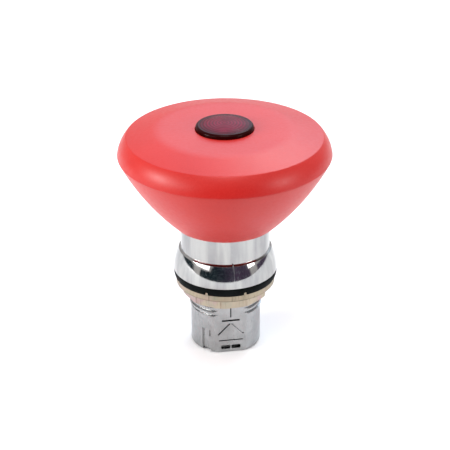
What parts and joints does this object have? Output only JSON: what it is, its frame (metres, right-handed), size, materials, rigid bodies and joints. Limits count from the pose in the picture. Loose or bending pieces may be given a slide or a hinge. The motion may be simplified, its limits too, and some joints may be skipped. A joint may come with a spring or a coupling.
{
  "type": "emergency stop button",
  "caption": "Illuminated push-pull mushroom emergency stop head on a chromed collar, with seal, toothed washer and nut for a round panel hole.",
  "frame": {"origin": "centre of the die-cast body's bottom face, on the push axis", "axes": "+Z along the push axis towards the operator; -Y is the side with the flat, the way mark and the bezel's index rib"},
  "size_m": [0.06, 0.06, 0.0683],
  "materials": {
    "red_plastic": "moulded red plastic, satin gloss",
    "lens_red": "deep red translucent lens, polished",
    "frosted_plastic": "frosted diffuser plastic",
    "clear_acrylic": "clear acrylic light guide",
    "black_plastic": "black moulded plastic",
    "white_nylon": "natural nylon",
    "black_rubber": "matt black rubber",
    "chrome_plate": "bright chrome plate",
    "die_cast_metal": "satin nickel-plated die-cast metal",
    "yellow_zinc_steel": "pale yellow passivated zinc plate",
    "plain_steel": "bright zinc-plated steel",
    "spring_steel": "spring steel wire and strip",
    "anodised_aluminium": "plain anodised aluminium tube"
  },
  "bodies": {
    "housing": {"threaded_body": "die_cast_metal", "bezel_collar": "chrome_plate", "panel_gasket": "black_rubber", "latch_cage": "black_plastic", "latch_clip": "spring_steel", "wiper_ring": "black_rubber", "guide_pin": "plain_steel", "lower_spring_seat": "plain_steel", "return_spring": "spring_steel"},
    "head": {"head_cap": "red_plastic", "head_skirt": "red_plastic", "lens": "lens_red", "lens_seal": "black_rubber", "diffuser": "frosted_plastic", "lens_retainer": "black_plastic", "light_guide": "clear_acrylic", "head_clamp_nut": "plain_steel", "plunger_tube": "anodised_aluminium", "retaining_clip": "spring_steel", "actuator_ring": "white_nylon", "upper_spring_seat": "white_nylon", "seat_snap_ring": "spring_steel"},
    "washer": {"lock_washer": "yellow_zinc_steel"},
    "nut": {"fixing_nut": "yellow_zinc_steel"}
  },
  "joints": [
    {"name": "head_press", "type": "slide", "parent": "housing", "child": "head", "axis": [0, 0, -1], "range_m": [0, 0.005], "deforming": ["return_spring", "latch_clip"]},
    {"name": "washer_slide", "type": "slide", "parent": "housing", "child": "washer", "axis": [0, 0, 1], "range_m": [-0.00375, 0]},
    {"name": "nut_turn", "type": "hinge", "parent": "washer", "child": "nut", "pos_m": [0, 0, 0.0175], "axis": [0, 0, 1], "range_deg": [-900, 0]}
  ],
  "couplings": [
    {"joint": "nut_turn", "follows": "washer_slide", "rad_per_m": 4188.8}
  ]
}
